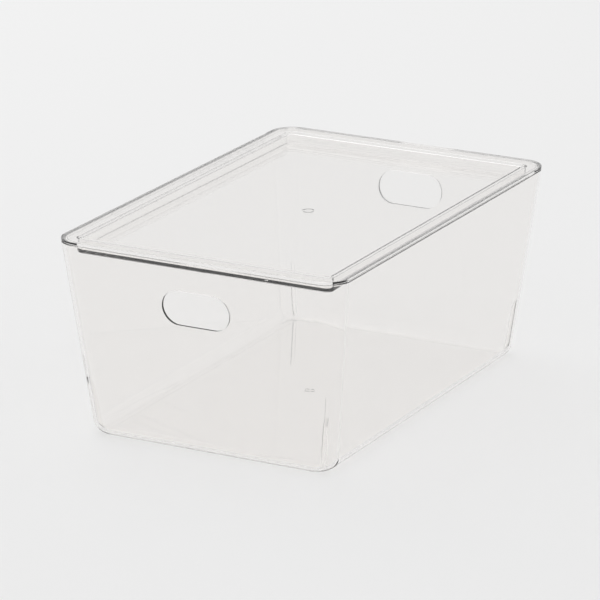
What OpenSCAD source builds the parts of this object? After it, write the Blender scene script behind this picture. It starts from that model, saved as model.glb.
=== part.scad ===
// Clear acrylic storage box: a tapered tub with two hand holes, and a lift-off lid with a sunken panel.
// Origin at the middle of the underside, +Z up, X across the box, Y along it.

/* [Lid] */
// Outside width of the lid, and of the tub's mouth
lid_w = 280; // [220:1:340]
// Outside length of the lid, and of the tub's mouth
lid_l = 424; // [340:1:520]
// Radius of the upright corners of the lid and the tub
corner_r = 22; // [20:0.5:30]
// Thickness of the lid's flat border
border_t = 3.2; // [2.4:0.1:4]
// Width of the flat border, from the outer edge to the sunken panel
border_w = 17.6; // [14:0.2:19]
// Depth of the sunken panel's top below the border's top
recess_depth = 10.4; // [6:0.2:14]
// Thickness of the sunken panel and of the wall around it
panel_t = 3; // [2:0.1:4]
// Thickness of the low ridge under the border, which keeps the lid centred in the mouth
ridge_t = 1.8; // [1.2:0.1:2.4]
// Height of that ridge
ridge_h = 2; // [1:0.1:4]
// Gap between the ridge and the tub's wall
ridge_gap = 0.6; // [0.3:0.1:1]

/* [Tub] */
// Height of the tub without its lid
tub_h = 180; // [130:1:240]
// How far each wall leans in from the mouth to the foot
lean = 20; // [10:0.5:28]
// Thickness of the walls
wall_t = 3; // [2:0.1:4]
// Thickness of the floor
floor_t = 3; // [2:0.1:4]
// Outside radius between the walls and the floor
foot_r = 15; // [8:0.5:18]

/* [Hand holes] */
// Width of each hand hole
hole_w = 66; // [50:1:90]
// Height of each hand hole
hole_h = 32; // [24:1:36]
// Depth of the holes' centre below the mouth
hole_drop = 42.5; // [30:0.5:60]

/* [Corner ribs] */
// Height of the ribs' tops above the underside
rib_top = 55; // [30:1:90]
// Height of the slope at the top of each rib
rib_slope = 8.5; // [2:0.5:15]
// Thickness of each rib
rib_t = 3.2; // [1.5:0.1:4]
// How far a rib stands out of the corner just below its slope
rib_reach_top = 3; // [1:0.1:6]
// How far a rib stands out of the corner at the floor
rib_reach_floor = 4; // [3:0.1:9]

/* [Hidden] */
// Facets of a full turn on the tapered shell's corners
corner_fn = 40;
// Steps in the round between wall and floor
foot_steps = 6;
// Sideways lean per millimetre of height
slope = lean / tub_h;
// Overlap of a cut beyond the face it opens
over = 1;
foot_w = lid_w - 2 * lean;
foot_l = lid_l - 2 * lean;
hole_z = tub_h - hole_drop;
lid_top = tub_h + border_t;
plug_inset = border_w - panel_t;
plug_drop = recess_depth + panel_t;
ridge_inset = wall_t + ridge_gap;

// Corner of the foot: a disc of radius r above z = 0, its lower edge rounded to fillet up to the wall's lean
module foot_puck(r, fillet) {
    turn = (90 - atan(slope)) / foot_steps;
    arc = [for (i = [0 : foot_steps])
        [r - fillet + fillet * sin(i * turn), fillet - fillet * cos(i * turn)]];
    rotate_extrude($fn = corner_fn)
        polygon(concat([[0, 0]], arc, [[0, arc[foot_steps][1]]]));
}

// Places its children at the four corner centres of a w by l outline with corner radius r
module at_corners(w, l, r) {
    for (x = [-1, 1], y = [-1, 1])
        translate([x * (w / 2 - r), y * (l / 2 - r), 0])
            children();
}

// Tapered body with rounded corners and a rounded foot. Its walls lean out by slope up to height h, and run
// through the outline w by l at z = 0; swell is how far the foot's round reaches past that outline.
module taper(w, l, r, fillet, h) {
    swell = fillet * (1 + slope - sqrt(1 + slope * slope));
    grow = slope * h;
    rim = 0.01;
    hull() {
        at_corners(w + 2 * swell, l + 2 * swell, r) foot_puck(r, fillet);
        translate([0, 0, h - rim])
            at_corners(w + 2 * grow, l + 2 * grow, r) cylinder(r = r, h = rim, $fn = corner_fn);
    }
}

// Plate with upright rounded corners, standing on z = 0
module plate(w, l, r, h) {
    linear_extrude(h) {
        square([w - 2 * r, l], center = true);
        square([w, l - 2 * r], center = true);
        at_corners(w, l, r) circle(r = r);
    }
}

// Plate drawn in from the lid's outline by inset on every side
module inset_plate(inset, h) {
    plate(lid_w - 2 * inset, lid_l - 2 * inset, corner_r - inset, h);
}

// Inside of the tub, from the floor up past the mouth
module cavity() {
    drop = wall_t - slope * floor_t;
    translate([0, 0, floor_t])
        taper(foot_w - 2 * drop, foot_l - 2 * drop, corner_r - wall_t, foot_r - wall_t,
              tub_h - floor_t + over);
}

// One upright rib, drawn in the plane of the corner's diagonal, u = 0 at the foot's corner centre. It runs into
// the wall by bury, so that its faces cross the wall's and don't end on it.
module rib() {
    function wall_u(z) = corner_r - wall_t + slope * sqrt(2) * z;
    knee = rib_top - rib_slope;
    bury = wall_t / 2;
    tip_u = wall_u(knee) - rib_reach_top;
    rise = rib_slope / (wall_u(rib_top) - tip_u);
    rotate([90, 0, 0])
        translate([0, 0, -rib_t / 2])
            linear_extrude(rib_t)
                polygon([
                    [wall_u(floor_t) - rib_reach_floor, floor_t / 2],
                    [tip_u, knee],
                    [wall_u(rib_top) + bury, rib_top + rise * bury],
                    [wall_u(floor_t) + bury, floor_t / 2]
                ]);
}

module ribs() {
    for (x = [-1, 1], y = [-1, 1])
        translate([x * (foot_w / 2 - corner_r), y * (foot_l / 2 - corner_r), 0])
            rotate([0, 0, atan2(y, x)])
                rib();
}

// Long rounded slot along X, cut through both end walls
module hand_holes() {
    half = hole_w / 2 - hole_h / 2;
    length = lid_l + 2 * over;
    translate([0, length / 2, hole_z])
        rotate([90, 0, 0])
            linear_extrude(length) {
                square([2 * half, hole_h], center = true);
                for (x = [-half, half])
                    translate([x, 0]) circle(r = hole_h / 2);
            }
}

module tub() {
    color([0.93, 0.93, 0.92, 0.35])
        difference() {
            taper(foot_w, foot_l, corner_r, foot_r, tub_h);
            difference() {
                cavity();
                ribs();
            }
            hand_holes();
        }
}

// Ridge that runs round under the border, just inside the tub's wall
module ridge() {
    translate([0, 0, tub_h - ridge_h])
        difference() {
            inset_plate(ridge_inset, ridge_h);
            translate([0, 0, -over])
                inset_plate(ridge_inset + ridge_t, ridge_h + 2 * over);
        }
}

module lid() {
    color([0.91, 0.90, 0.90, 0.35]) {
        difference() {
            union() {
                translate([0, 0, tub_h])
                    inset_plate(0, border_t);
                translate([0, 0, lid_top - plug_drop])
                    inset_plate(plug_inset, plug_drop - border_t + over);
            }
            translate([0, 0, lid_top - recess_depth])
                inset_plate(border_w, recess_depth + over);
        }
        ridge();
    }
}

tub();
lid();
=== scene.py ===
import math

import bpy
import numpy as np
from mathutils import Matrix, Vector


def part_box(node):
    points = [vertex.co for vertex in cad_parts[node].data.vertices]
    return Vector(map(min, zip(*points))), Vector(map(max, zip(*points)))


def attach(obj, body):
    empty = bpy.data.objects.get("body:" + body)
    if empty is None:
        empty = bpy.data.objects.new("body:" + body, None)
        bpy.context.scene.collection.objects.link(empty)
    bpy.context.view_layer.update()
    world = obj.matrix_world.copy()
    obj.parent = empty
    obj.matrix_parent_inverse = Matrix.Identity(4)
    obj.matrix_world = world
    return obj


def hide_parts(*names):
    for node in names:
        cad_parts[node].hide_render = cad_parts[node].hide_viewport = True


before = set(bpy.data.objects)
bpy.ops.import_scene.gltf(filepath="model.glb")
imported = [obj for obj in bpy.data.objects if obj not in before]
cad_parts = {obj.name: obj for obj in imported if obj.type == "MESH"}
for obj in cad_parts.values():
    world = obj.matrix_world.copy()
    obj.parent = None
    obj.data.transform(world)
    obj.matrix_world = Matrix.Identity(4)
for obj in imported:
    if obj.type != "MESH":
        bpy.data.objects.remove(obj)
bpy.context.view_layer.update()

mm = 0.001
tubLow, tubHigh = (np.array(corner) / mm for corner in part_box("tub"))
lidHigh = np.array(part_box("lid")[1]) / mm
weldGap = 1e-4               # mm, points nearer than this are one point
tiny = 1e-6                  # below this a length, an angle or a difference counts as none
print("frame loaded, box in mm:", tubLow.round(1), lidHigh.round(1))

# Sizes in mm. The outer sizes come from the frame, the rest is what the mould would be cut to.
tub = {
    "width": tubHigh[0] - tubLow[0],
    "length": tubHigh[1] - tubLow[1],
    "height": tubHigh[2] - tubLow[2],
    "lean": 20.0,            # how far each wall leans in from mouth to foot
    "wall": 3.0,
    "floor": 3.0,
    "cornerRadius": 22.0,
    "footRadius": 15.0,      # outside, between wall and floor
    "rimRound": 0.5,         # on both edges of the mouth
    "rimSteps": 4,
    "cornerSteps": 13,       # either side of a corner's rib
    "footSteps": 10,
    "sideColumns": 9,        # along each long wall, with both ends
    "besideHole": 0.66,      # columns between hole and corner, as a share of the way to the corner's centre
    "lowLevels": (40.0, 75.0, 100.0),  # ring heights below the holes; inside, the ribs replace the first
    "highLevel": 168.0,      # height of the ring above the holes
    "ribFootLevel": 30.0,    # height of the ring across the ribs' lower part
    "poleRadius": 5.6,       # smallest ring round the middle of the underside
    "markRadius": 3.0,       # raised ring in the middle of the floor
    "markHalfBase": 0.6,     # half its width at the floor
    "markHalfCrest": 0.3,    # and at its crest
    "markHeight": 0.25,
}
hole = {
    "width": 66.0,
    "height": 32.0,
    "centreHeight": tub["height"] - 42.5,
    "lip": 0.5,              # round on the edges of the hole
    "lipSteps": 5,
    "margin": 6.0,           # flat land round the hole before the wall's own grid
    "steps": 8,              # for each 45 degrees round the ends
    "straightColumns": 5,    # along the straight part, with both ends
}
rib = {
    "top": 55.0,
    "slope": 8.5,
    "thickness": 3.2,
    "draft": 0.15,           # how much thinner each side is at the tip
    "reachTop": 3.0,
    "reachFloor": 4.0,
}
lid = {
    "border": lidHigh[2] - tubHigh[2],
    "borderWidth": 17.6,
    "recess": 10.4,
    "panel": 3.0,
    "ridgeInset": 3.6,
    "ridgeThickness": 1.8,
    "ridgeHeight": 2.0,
    "edgeRound": 0.55,
    "edgeSteps": 5,
    "ridgeSteps": 4,         # round the ridge's lower edges
    "ridgeHollow": 0.2,      # hollow round where the ridge meets the border
    "ridgeHollowSteps": 3,
    "plugHollow": 1.5,       # hollow round where the panel's wall meets the border
    "plugRound": 1.2,        # round under the panel's edge
    "plugSteps": 6,
    "cornerColumns": 19,     # round each corner, with both ends
    "endColumns": 9,         # along each short side
    "sideColumns": 13,       # along each long side
    "gap": 0.12,             # air between the border and the rim
    "markRadius": 5.6,       # round groove in the middle of the panel, to its outer wall's foot
    "markWidth": 0.6,        # of the groove's bottom
    "markSlope": 0.3,        # width of each of its walls
    "markDepth": 0.35,
}

slope = tub["lean"] / tub["height"]
footHalf = np.array([tub["width"] / 2 - tub["lean"], tub["length"] / 2 - tub["lean"]])


def arc(start, end, steps):
    # Angles from start to end in degrees, as radians.
    return np.radians(np.linspace(start, end, steps + 1))


def meshFromGrids(name, grids):
    # Joins grids into one closed mesh. Each grid is (points, normals, kept cells, flat cells), rows by
    # columns. A cell joins four neighbours. Points that meet are welded, and each corner keeps its own
    # grid's normal, or takes its face's where the cell is flat.
    allPoints, allNormals, quads, flats = [], [], [], []
    offset = 0
    for points, normals, keep, flat in grids:
        rows, cols = points.shape[:2]
        index = offset + np.arange(rows * cols).reshape(rows, cols)
        nextIndex = np.roll(index, -1, axis=1)
        cell = np.stack([index[:-1], nextIndex[:-1], nextIndex[1:], index[1:]], axis=-1)
        quads.append(cell[keep])
        flats.append(flat[keep])
        allPoints.append(points.reshape(-1, 3))
        allNormals.append(normals.reshape(-1, 3))
        offset += rows * cols
    points, normals = np.concatenate(allPoints), np.concatenate(allNormals)
    quads, flats = np.concatenate(quads), np.concatenate(flats)
    keys, welded = np.unique(np.round(points / weldGap).astype(np.int64), axis=0, return_inverse=True)
    welded = welded.reshape(-1)
    places = np.zeros((len(keys), 3))
    places[welded] = points
    corner = welded[quads]
    new = corner != np.roll(corner, 1, axis=1)
    count = new.sum(axis=1)
    good = (count >= 3) & (corner[:, 0] != corner[:, 2]) & (corner[:, 1] != corner[:, 3])
    corner, quads, flats, new, count = corner[good], quads[good], flats[good], new[good], count[good]
    a, b, c, d = (places[corner[:, k]] for k in range(4))
    faceNormal = np.cross(c - a, d - b)
    faceNormal /= np.maximum(np.linalg.norm(faceNormal, axis=1, keepdims=True), 1e-12)
    cornerNormal = np.where(flats[:, None, None], faceNormal[:, None, :], normals[quads])
    mesh = bpy.data.meshes.new(name)
    loopVertex = corner[new]
    loopNormal = cornerNormal[new]
    mesh.vertices.add(len(places))
    mesh.vertices.foreach_set("co", (places * mm).ravel())
    mesh.loops.add(len(loopVertex))
    mesh.loops.foreach_set("vertex_index", loopVertex.astype(np.int32))
    mesh.polygons.add(len(count))
    mesh.polygons.foreach_set("loop_start", (np.cumsum(count) - count).astype(np.int32))
    mesh.update(calc_edges=True)
    mesh.validate()
    mesh.polygons.foreach_set("use_smooth", np.ones(len(mesh.polygons), bool))
    if len(mesh.loops) == len(loopNormal):
        mesh.normals_split_custom_set(loopNormal.tolist())
    piece = bpy.data.objects.new(name, mesh)
    bpy.context.scene.collection.objects.link(piece)
    print(name, "has", len(mesh.polygons), "faces")
    return piece


def outlineColumns(turns, shortSide, longSide):
    # Columns round a rounded rectangle, anticlockwise from above. Each is (kx, ky, angle): its centre is
    # at (kx, ky) times the first corner's centre, and the outline is one radius from it along angle. turns
    # are the angles of one corner in degrees, shortSide and longSide the fractions along the straight sides.
    parts = []
    for k, (kx, ky) in enumerate(((1, 1), (-1, 1), (-1, -1), (1, -1))):
        angle = turns + 90 * k
        parts.append(np.stack([np.full(len(angle), kx), np.full(len(angle), ky), angle], axis=1))
        side = shortSide if k % 2 == 0 else longSide
        inner = np.sort(side)[1:-1]
        along = -inner if k < 2 else inner
        still = np.full(len(inner), ky if k % 2 == 0 else kx)
        turned = np.full(len(inner), 90.0 * (k + 1))
        parts.append(np.stack([along, still, turned] if k % 2 == 0 else [still, along, turned], axis=1))
    return np.concatenate(parts)


def roundToCircle(columns, half, radius):
    # Points on a circle about the middle, each in the direction of its column, so rings can close on a pole.
    angle = np.radians(columns[:, 2])
    reach = np.stack([columns[:, 0] * half[0] + np.cos(angle),
                      columns[:, 1] * half[1] + np.sin(angle)], axis=1)
    bearing = np.arctan2(reach[:, 1] / half[1], reach[:, 0] / half[0])
    return np.stack([radius * np.cos(bearing), radius * np.sin(bearing)], axis=1)


def buildTub():
    # A wall profile carried round a rounded rectangle: foot middle, foot round, outer wall, rim, inner wall,
    # inner round, floor middle. A point is corner centre + radius * direction of its column.
    r, wall, height = tub["cornerRadius"], tub["wall"], tub["height"]
    half = hole["height"] / 2 + hole["margin"]
    straight = (hole["width"] - hole["height"]) / 2
    holeTurns = arc(0, 45, hole["steps"])
    rowStep = half * np.tan(holeTurns)
    holeRows = hole["centreHeight"] + np.concatenate([-rowStep[:0:-1], rowStep])
    ends = straight + half * np.tan(holeTurns)
    centreAtHole = footHalf[0] - r + slope * hole["centreHeight"]
    overHole = np.linspace(-straight, straight, hole["straightColumns"])[1:-1]
    holeCols = np.concatenate([-ends[::-1], overHole, ends]) / centreAtHole
    shortSide = np.concatenate([[-1, -tub["besideHole"]], holeCols, [tub["besideHole"], 1]])
    longSide = np.linspace(-1, 1, tub["sideColumns"])
    innerRadius = r - wall
    rootTurn = math.degrees(rib["thickness"] / 2 / innerRadius)
    tipTurn = math.degrees((rib["thickness"] / 2 - rib["draft"]) / innerRadius)
    lower = np.linspace(0, 45 - rootTurn, tub["cornerSteps"])
    turns = np.concatenate([lower, [45 - tipTurn, 45, 45 + tipTurn], 90 - lower[::-1]])
    columns = outlineColumns(turns, shortSide, longSide)
    kappa, angle = columns[:, :2], np.radians(columns[:, 2])
    direction = np.stack([np.cos(angle), np.sin(angle)], axis=1)
    leanHere = slope * np.abs(direction).sum(axis=1)
    tilt = np.arctan(leanHere)
    wallNormal = np.concatenate([direction, -leanHere[:, None]], axis=1)
    wallNormal /= np.linalg.norm(wallNormal, axis=1, keepdims=True)

    def ring(centre, radius, z, normalOut, normalUp):
        # Column's centre + radius * direction, at height z. The normal is normalOut outwards and normalUp up.
        xy = kappa * centre + direction * np.reshape(radius, (-1, 1))
        points = np.concatenate([xy, np.broadcast_to(np.reshape(z, (-1, 1)), (len(xy), 1))], axis=1)
        out = direction * np.reshape(normalOut, (-1, 1))
        up = np.broadcast_to(np.reshape(normalUp, (-1, 1)), (len(xy), 1))
        return points, np.concatenate([out, up], axis=1)

    def middle(radius, z, up):
        # Circle about the middle, at height z, facing straight up or down.
        xy = roundToCircle(columns, footHalf, radius)
        flat = np.zeros((len(xy), 3)) + [0, 0, up]
        return np.column_stack([xy, np.full(len(xy), z)]), flat

    def skin(radius, fillet, base, inward):
        # One skin from its round up to the top: the round turns from flat to the wall's tilt, then straight
        # lines run to the mouth. swell moves the round out, so that the walls touch it and still run
        # through the foot's outline at z = 0.
        swell = fillet * (1 + slope - math.sqrt(1 + slope * slope))
        offset = wall if inward else 0
        centreFoot = footHalf - offset + slope * base - radius + swell
        centreTop = footHalf - offset + slope * (height - tub["rimRound"]) - radius
        sign = -1 if inward else 1
        rings = []
        for part in np.linspace(0, 1, tub["footSteps"] + 1):
            a = part * (math.pi / 2 - tilt)
            rings.append(ring(centreFoot, radius - fillet + fillet * np.sin(a),
                              base + fillet - fillet * np.cos(a), sign * np.sin(a), -sign * np.cos(a)))
        foot = rings[-1][0]
        top = ring(centreTop, radius, height - tub["rimRound"], 0, 1)[0]
        return rings, foot, top, sign * wallNormal

    outerRings, foot, top, outNormal = skin(r, tub["footRadius"], 0, False)
    innerFillet = tub["footRadius"] - wall
    innerRings, innerFoot, innerTop, inNormal = skin(innerRadius, innerFillet, tub["floor"], True)
    # The column in the middle of the end wall at -Y, whose heights the levels are given for.
    flatColumn = int(np.argmin(np.abs(columns[:, 0]) + np.abs(columns[:, 2] - 270)))

    def wallRings(levels, low, high, normal):
        # Rings of one wall: low + (high - low) * part, where part is 0 at the round and 1 at the mouth.
        lowZ, highZ = low[flatColumn, 2], high[flatColumn, 2]
        parts = (levels - lowZ) / (highZ - lowZ)
        return [(low + (high - low) * part, normal) for part in parts]

    below = tub["lowLevels"]
    above = (tub["highLevel"], height - tub["rimRound"])
    ribLevels = (tub["ribFootLevel"], rib["top"] - rib["slope"], rib["top"])
    outerLevels = np.concatenate([below, holeRows, above])
    innerLevels = np.concatenate([ribLevels, below[1:], holeRows, above])
    rings = [middle(0.0, 0.0, -1), middle(tub["poleRadius"], 0.0, -1)]
    rings += outerRings
    firstOuter = len(rings)
    rings += wallRings(outerLevels, foot, top, outNormal)
    edge = tub["rimRound"]
    centreTop = footHalf + slope * (height - edge) - r
    for a in arc(0, 90, tub["rimSteps"])[1:]:
        rings.append(ring(centreTop, r - edge + edge * math.cos(a),
                          height - edge + edge * math.sin(a), math.cos(a), math.sin(a)))
    for a in arc(90, 0, tub["rimSteps"])[:-1]:
        rings.append(ring(centreTop, innerRadius + edge - edge * math.cos(a),
                          height - edge + edge * math.sin(a), -math.cos(a), math.sin(a)))
    firstInner = len(rings)
    rings += wallRings(innerLevels, innerFoot, innerTop, inNormal)[::-1]
    rings += innerRings[::-1]
    mark, base, crest = tub["markRadius"], tub["markHalfBase"], tub["markHalfCrest"]
    crestZ = tub["floor"] + tub["markHeight"]
    rings += [middle(mark + base, tub["floor"], 1), middle(mark + crest, crestZ, 1),
              middle(mark - crest, crestZ, 1), middle(mark - base, tub["floor"], 1),
              middle(0.0, tub["floor"], 1)]
    points = np.stack([p for p, n in rings])
    normals = np.stack([n for p, n in rings])

    # Ribs: columns within the rib's thickness are drawn in along the corner's diagonal.
    offTurn = np.abs((columns[:, 2] % 90) - 45)
    ribStart = 0.01          # mm above the floor, so the floor's own ring stays
    inRib = (np.abs(kappa).sum(axis=1) == 2) & (offTurn <= tipTurn + tiny)
    diagonal = np.sign(kappa) / math.sqrt(2)
    z = points[firstInner:, :, 2]
    knee = rib["top"] - rib["slope"]
    reach = np.interp(z, [tub["floor"], knee, rib["top"]], [rib["reachFloor"], rib["reachTop"], 0.0])
    centre = kappa[None] * (footHalf - r + slope * z[..., None])
    outward = ((points[firstInner:, :, :2] - centre) * diagonal[None]).sum(axis=-1)
    limit = innerRadius * np.cos(np.radians(offTurn))[None] - reach
    ribHeight = (z < rib["top"]) & (z > tub["floor"] + ribStart)
    move = np.where(inRib[None] & ribHeight, np.minimum(limit - outward, 0), 0)
    points[firstInner:, :, :2] += diagonal[None] * move[..., None]

    cells = (points.shape[0] - 1, points.shape[1])
    keep, flat = np.ones(cells, bool), np.zeros(cells, bool)
    moved = np.zeros(points.shape[:2], bool)
    moved[firstInner:] = move < -tiny
    nextMoved = np.roll(moved, -1, axis=1)
    flat |= moved[:-1] | moved[1:] | nextMoved[:-1] | nextMoved[1:]

    # Hand holes: a block of cells leaves each end wall, and a sleeve of rings runs from its edge round the
    # lip, through the wall and out to the same block inside.
    rowCount = len(holeRows)
    outerLow = firstOuter + len(below)
    innerHigh = firstInner + len(above)
    sleeves = []
    for sign, turn in ((-1, 270.0), (1, 90.0)):
        onSide = np.flatnonzero((np.abs(columns[:, 2] - turn) < tiny) & (np.abs(kappa[:, 0]) < 1))
        first = onSide[1]
        last = onSide[-2]
        block = np.arange(first, last + 1)
        rowsOut = outerLow + np.arange(rowCount)
        rowsIn = innerHigh + np.arange(rowCount)[::-1]
        keep[outerLow:outerLow + rowCount - 1, first:last] = False
        keep[innerHigh:innerHigh + rowCount - 1, first:last] = False

        def edgeLoop(rows):
            # The block's edge as one loop: lowest row, last column, highest row, first column.
            low = points[rows[0], block[:-1]]
            right = points[rows[:-1], block[-1]]
            high = points[rows[-1], block[:0:-1]]
            left = points[rows[:0:-1], block[0]]
            return np.concatenate([low, right, high, left])

        outerLoop, innerLoop = edgeLoop(rowsOut), edgeLoop(rowsIn)
        spine = np.clip(outerLoop[:, 0], -straight, straight)
        away = np.stack([outerLoop[:, 0] - spine, outerLoop[:, 2] - hole["centreHeight"]], axis=1)
        away /= np.linalg.norm(away, axis=1, keepdims=True)

        def slot(spread, depth, inner, theta):
            # The hole's outline, widened by spread and depth into the wall from its outer or inner face.
            # The normal turns by theta from the wall's own towards the middle of the hole.
            x = spine + away[:, 0] * (hole["height"] / 2 + spread)
            zed = hole["centreHeight"] + away[:, 1] * (hole["height"] / 2 + spread)
            y = footHalf[1] + slope * zed - (wall - depth if inner else depth)
            plane = np.array([0, sign, -slope]) / math.sqrt(1 + slope * slope) * (-1 if inner else 1)
            across = np.stack([-away[:, 0], np.zeros(len(x)), -away[:, 1]], axis=1)
            return np.stack([x, sign * y, zed], axis=1), plane * math.cos(theta) + across * math.sin(theta)

        lip = hole["lip"]
        planeOut = slot(0, 0, False, 0)[1]
        planeIn = slot(0, 0, True, 0)[1]
        loops = [(outerLoop, planeOut)]
        loops += [slot(lip * (1 - math.sin(t)), lip * (1 - math.cos(t)), False, t)
                  for t in arc(0, 90, hole["lipSteps"])]
        loops += [slot(lip * (1 - math.sin(t)), lip * (1 - math.cos(t)), True, t)
                  for t in arc(90, 0, hole["lipSteps"])]
        loops += [(innerLoop, planeIn)]
        sleevePoints = np.stack([p for p, n in loops])
        sleeveNormals = np.stack([n for p, n in loops])
        sleeveCells = (len(loops) - 1, sleevePoints.shape[1])
        sleeves.append((sleevePoints, sleeveNormals, np.ones(sleeveCells, bool), np.zeros(sleeveCells, bool)))
    return meshFromGrids("clear_tub", [(points, normals, keep, flat)] + sleeves)


def buildLid():
    # A section of (inset from the lid's edge, height) carried round the lid's outline, from the middle of the
    # panel's top, over the border and back under it to the middle of the panel's underside.
    top = tub["height"] + lid["border"]
    under = tub["height"] + lid["gap"]
    r = tub["cornerRadius"]
    half = np.array([tub["width"], tub["length"]]) / 2
    columns = outlineColumns(np.linspace(0, 90, lid["cornerColumns"]),
                             np.linspace(-1, 1, lid["endColumns"]), np.linspace(-1, 1, lid["sideColumns"]))
    kappa, angle = columns[:, :2], np.radians(columns[:, 2])
    direction = np.stack([np.cos(angle), np.sin(angle)], axis=1)
    edge = lid["edgeRound"]
    inner, plug = lid["borderWidth"], lid["borderWidth"] - lid["panel"]
    floorTop, floorUnder = top - lid["recess"], top - lid["recess"] - lid["panel"]
    ridge, ridgeEnd = lid["ridgeInset"], lid["ridgeInset"] + lid["ridgeThickness"]

    def turnOf(inset, z, radius, start, end, steps):
        # Round corner of the section: centre (inset, z), from angle start to end; 0 points outwards, 90 up.
        # A negative radius makes a hollow round, whose surface faces its centre.
        theta = arc(start, end, steps)
        face = np.sign(radius)
        out, up = np.cos(theta), np.sin(theta)
        size = abs(radius)
        return np.stack([inset - size * out, z + size * up, face * out, face * up], axis=1)

    steps, ridgeSteps, hollowSteps = lid["edgeSteps"], lid["ridgeSteps"], lid["ridgeHollowSteps"]
    ridgeHollow, plugHollow = lid["ridgeHollow"], lid["plugHollow"]
    plugRound, plugSteps = lid["plugRound"], lid["plugSteps"]
    ridgeUnder = under - lid["ridgeHeight"]
    section = np.concatenate([
        turnOf(inner + edge, floorTop + edge, -edge, 270, 360, steps),
        turnOf(inner - edge, top - edge, edge, 180, 90, steps),
        turnOf(edge, top - edge, edge, 90, 0, steps),
        turnOf(edge, under + edge, edge, 0, -90, steps),
        turnOf(ridge - ridgeHollow, under - ridgeHollow, -ridgeHollow, 90, 180, hollowSteps),
        turnOf(ridge + edge, ridgeUnder + edge, edge, 0, -90, ridgeSteps),
        turnOf(ridgeEnd - edge, ridgeUnder + edge, edge, 270, 180, ridgeSteps),
        turnOf(ridgeEnd + ridgeHollow, under - ridgeHollow, -ridgeHollow, 0, 90, hollowSteps),
        turnOf(plug - plugHollow, under - plugHollow, -plugHollow, 90, 180, plugSteps),
        turnOf(plug + plugRound, floorUnder + plugRound, plugRound, 0, -90, plugSteps),
    ])

    def ring(inset, z, normalOut, normalUp):
        # The lid's outline drawn in by inset, at height z. The corner radius shrinks with it.
        radius = max(r - inset, 0)
        xy = kappa * (half - inset - radius) + direction * radius
        flat = np.concatenate([direction * normalOut, np.full((len(xy), 1), normalUp)], axis=1)
        return np.column_stack([xy, np.full(len(xy), z)]), flat

    def middle(radius, z, up):
        # Circle about the middle, at height z, facing straight up or down.
        xy = roundToCircle(columns, half, radius)
        return np.column_stack([xy, np.full(len(xy), z)]), np.zeros((len(xy), 3)) + [0, 0, up]

    mark, width, side = lid["markRadius"], lid["markWidth"], lid["markSlope"]
    grooveZ = floorTop - lid["markDepth"]
    rings = [middle(0.0, floorTop, 1), middle(mark - width - side, floorTop, 1),
             middle(mark - width, grooveZ, 1), middle(mark, grooveZ, 1), middle(mark + side, floorTop, 1)]
    rings += [ring(*row) for row in section]
    rings += [middle(mark, floorUnder, -1), middle(0.0, floorUnder, -1)]
    # The rings run from the middle of the top outwards, so they are reversed to face out.
    points = np.stack([p for p, n in rings])[::-1]
    normals = np.stack([n for p, n in rings])[::-1]
    cells = (points.shape[0] - 1, points.shape[1])
    return meshFromGrids("clear_lid", [(points, normals, np.ones(cells, bool), np.zeros(cells, bool))])


def linear(code):
    # sRGB hex to linear colour.
    value = np.array([int(code[k:k + 2], 16) for k in (1, 3, 5)]) / 255
    value = np.where(value <= 0.04045, value / 12.92, ((value + 0.055) / 1.055) ** 2.4)
    return (*value.tolist(), 1.0)


def addNode(tree, kind, settings=None, inputs=None):
    # Adds a node, sets its properties, and fills its inputs with values or with links from other outputs.
    node = tree.nodes.new(kind)
    for key, value in (settings or {}).items():
        setattr(node, key, value)
    for key, value in (inputs or {}).items():
        if isinstance(value, bpy.types.NodeSocket):
            tree.links.new(value, node.inputs[key])
        else:
            node.inputs[key].default_value = value
    return node


acrylic = {
    "tint": "#FCFBFA",       # clear, a little warm where the plastic is seen edge on
    "ior": 1.49,
    "roughLow": 0.0,
    "roughHigh": 0.035,
    "hazeSize": 45.0,        # mm, soft patches of haze left by the mould
    "hazeDetail": 3.0,
    "hazeStart": 0.45,       # noise level at which the haze begins
    "hazeFull": 0.8,         # and at which it is full
    "rippleSize": 70.0,      # mm, slow sink and ripple of the moulded walls
    "rippleDepth": 0.02,     # mm
}


def clearAcrylic(name, tint):
    # Injection-moulded clear acrylic: glass-like, with a faint haze in patches and a slow ripple that bends
    # what shows through it.
    material = bpy.data.materials.new(name)
    material.use_nodes = True
    tree = material.node_tree
    tree.nodes.clear()
    place = addNode(tree, "ShaderNodeTexCoord").outputs["Object"]
    haze = addNode(tree, "ShaderNodeTexNoise", inputs={
        "Vector": place, "Scale": 1 / (acrylic["hazeSize"] * mm), "Detail": acrylic["hazeDetail"]})
    rough = addNode(tree, "ShaderNodeMapRange", inputs={
        "Value": haze.outputs[0], "From Min": acrylic["hazeStart"], "From Max": acrylic["hazeFull"],
        "To Min": acrylic["roughLow"], "To Max": acrylic["roughHigh"]})
    ripple = addNode(tree, "ShaderNodeTexNoise", inputs={
        "Vector": place, "Scale": 1 / (acrylic["rippleSize"] * mm), "Detail": 0.0})
    bump = addNode(tree, "ShaderNodeBump", inputs={
        "Height": ripple.outputs[0], "Strength": 1.0, "Distance": acrylic["rippleDepth"] * mm})
    shader = addNode(tree, "ShaderNodeBsdfPrincipled", inputs={
        "Base Color": linear(tint), "IOR": acrylic["ior"], "Transmission Weight": 1.0,
        "Roughness": rough.outputs[0], "Normal": bump.outputs[0]})
    addNode(tree, "ShaderNodeOutputMaterial", inputs={"Surface": shader.outputs[0]})
    return material


tubPiece = buildTub()
tubPiece.data.materials.append(clearAcrylic("clear_moulded_acrylic_tub", acrylic["tint"]))
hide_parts("tub")
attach(tubPiece, "tub")
lidPiece = buildLid()
lidPiece.data.materials.append(clearAcrylic("clear_moulded_acrylic_lid", acrylic["tint"]))
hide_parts("lid")
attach(lidPiece, "lid")
print("pieces made")

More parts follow.
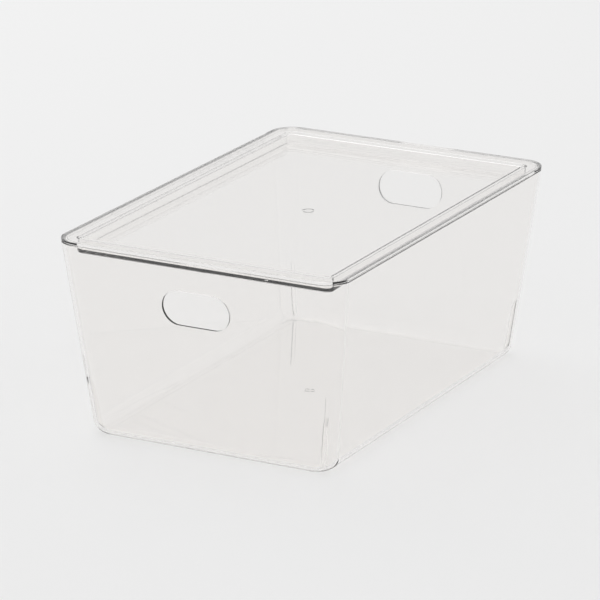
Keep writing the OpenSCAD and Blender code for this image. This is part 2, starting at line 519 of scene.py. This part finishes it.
# Lengths in metres.
studio = {
    "floorColour": "#EEEEEE",
    "floorHalf": 9.0,
    "floorDrop": 0.0003,     # the paper lies this far below the foot, so a line of air shows
    "paperRough": 0.9,
    "paperShine": 0.1,
    "paperLift": 0.35,       # share of plain, unlit colour where the paper is seen directly
    "paperLiftInside": 0.6,  # and where it is seen through the plastic
    "skyTop": 1.18,          # brightness of the sky overhead
    "skySide": 0.97,         # and at the horizon
    "skyTopFrom": 0.9,       # height on the unit sphere from which it is as bright as overhead
    "lampPower": 14.0,       # watts
    "lampSize": 2.4,
    "lampPlace": (-1.9, 1.2, 2.3),
}


def paperFloor(colour):
    # Flat matt paper under the box. Camera rays and rays through the plastic see part of it as its plain
    # colour, whatever the light: (1 - share) * lit paper + share * colour. That keeps the background pale
    # and makes the shadow fainter, most of all where it is seen through the box.
    material = bpy.data.materials.new("matt_paper_sweep")
    material.use_nodes = True
    tree = material.node_tree
    paper = tree.nodes["Principled BSDF"]
    paper.inputs["Base Color"].default_value = linear(colour)
    paper.inputs["Roughness"].default_value = studio["paperRough"]
    paper.inputs["Specular IOR Level"].default_value = studio["paperShine"]
    path = addNode(tree, "ShaderNodeLightPath")
    glow = addNode(tree, "ShaderNodeEmission", inputs={"Color": linear(colour), "Strength": 1.0})
    seen = addNode(tree, "ShaderNodeMath", {"operation": "MULTIPLY"},
                   {0: path.outputs["Is Camera Ray"], 1: studio["paperLift"]})
    through = path.outputs["Is Transmission Ray"]
    share = addNode(tree, "ShaderNodeMath", {"operation": "MULTIPLY_ADD"},
                    {0: through, 1: studio["paperLiftInside"], 2: seen.outputs[0]})
    mixed = addNode(tree, "ShaderNodeMixShader",
                    inputs={0: share.outputs[0], 1: paper.outputs[0], 2: glow.outputs[0]})
    tree.links.new(mixed.outputs[0], tree.nodes["Material Output"].inputs["Surface"])
    return material


def buildStudio():
    h = studio["floorHalf"]
    z = -studio["floorDrop"]
    mesh = bpy.data.meshes.new("floor")
    mesh.from_pydata([(-h, -h, z), (h, -h, z), (h, h, z), (-h, h, z)], [], [(0, 1, 2, 3)])
    floor = bpy.data.objects.new("floor", mesh)
    bpy.context.scene.collection.objects.link(floor)
    mesh.materials.append(paperFloor(studio["floorColour"]))

    world = bpy.data.worlds.new("studio")
    bpy.context.scene.world = world
    world.use_nodes = True
    tree = world.node_tree
    tree.nodes.clear()
    way = addNode(tree, "ShaderNodeTexCoord").outputs["Generated"]
    split = addNode(tree, "ShaderNodeSeparateXYZ", inputs={"Vector": way})
    level = addNode(tree, "ShaderNodeMapRange", inputs={
        "Value": split.outputs["Z"], "From Min": 0.0, "From Max": studio["skyTopFrom"],
        "To Min": studio["skySide"], "To Max": studio["skyTop"]})
    sky = addNode(tree, "ShaderNodeBackground", inputs={"Strength": level.outputs[0]})
    addNode(tree, "ShaderNodeOutputWorld", inputs={"Surface": sky.outputs[0]})

    data = bpy.data.lights.new("softbox", "AREA")
    data.energy = studio["lampPower"]
    data.size = studio["lampSize"]
    lamp = bpy.data.objects.new("softbox", data)
    bpy.context.scene.collection.objects.link(lamp)
    place = Vector(studio["lampPlace"])
    lamp.matrix_world = Matrix.Translation(place) @ (-place).to_track_quat("-Z", "Y").to_matrix().to_4x4()
    print("studio made")


camera = {
    "place": (1.6353, -3.0941, 1.2169),  # metres
    "azimuth": 27.98,        # degrees
    "elevation": 17.87,      # degrees it looks down
    "lens": 244.2,           # mm
    "sensor": 36.0,          # mm
    "farthest": 50.0,        # metres
}


def buildCamera():
    data = bpy.data.cameras.new("camera")
    data.lens = camera["lens"]
    data.sensor_width = camera["sensor"]
    data.clip_end = camera["farthest"]
    eye = bpy.data.objects.new("camera", data)
    bpy.context.scene.collection.objects.link(eye)
    eye.location = camera["place"]
    eye.rotation_euler = (math.radians(90 - camera["elevation"]), 0.0, math.radians(camera["azimuth"]))
    bpy.context.scene.camera = eye


buildStudio()
buildCamera()
scene = bpy.context.scene
scene.view_settings.view_transform = "Standard"
scene.cycles.max_bounces = 48
scene.cycles.transmission_bounces = 48
scene.cycles.glossy_bounces = 16
scene.cycles.blur_glossy = 0.0
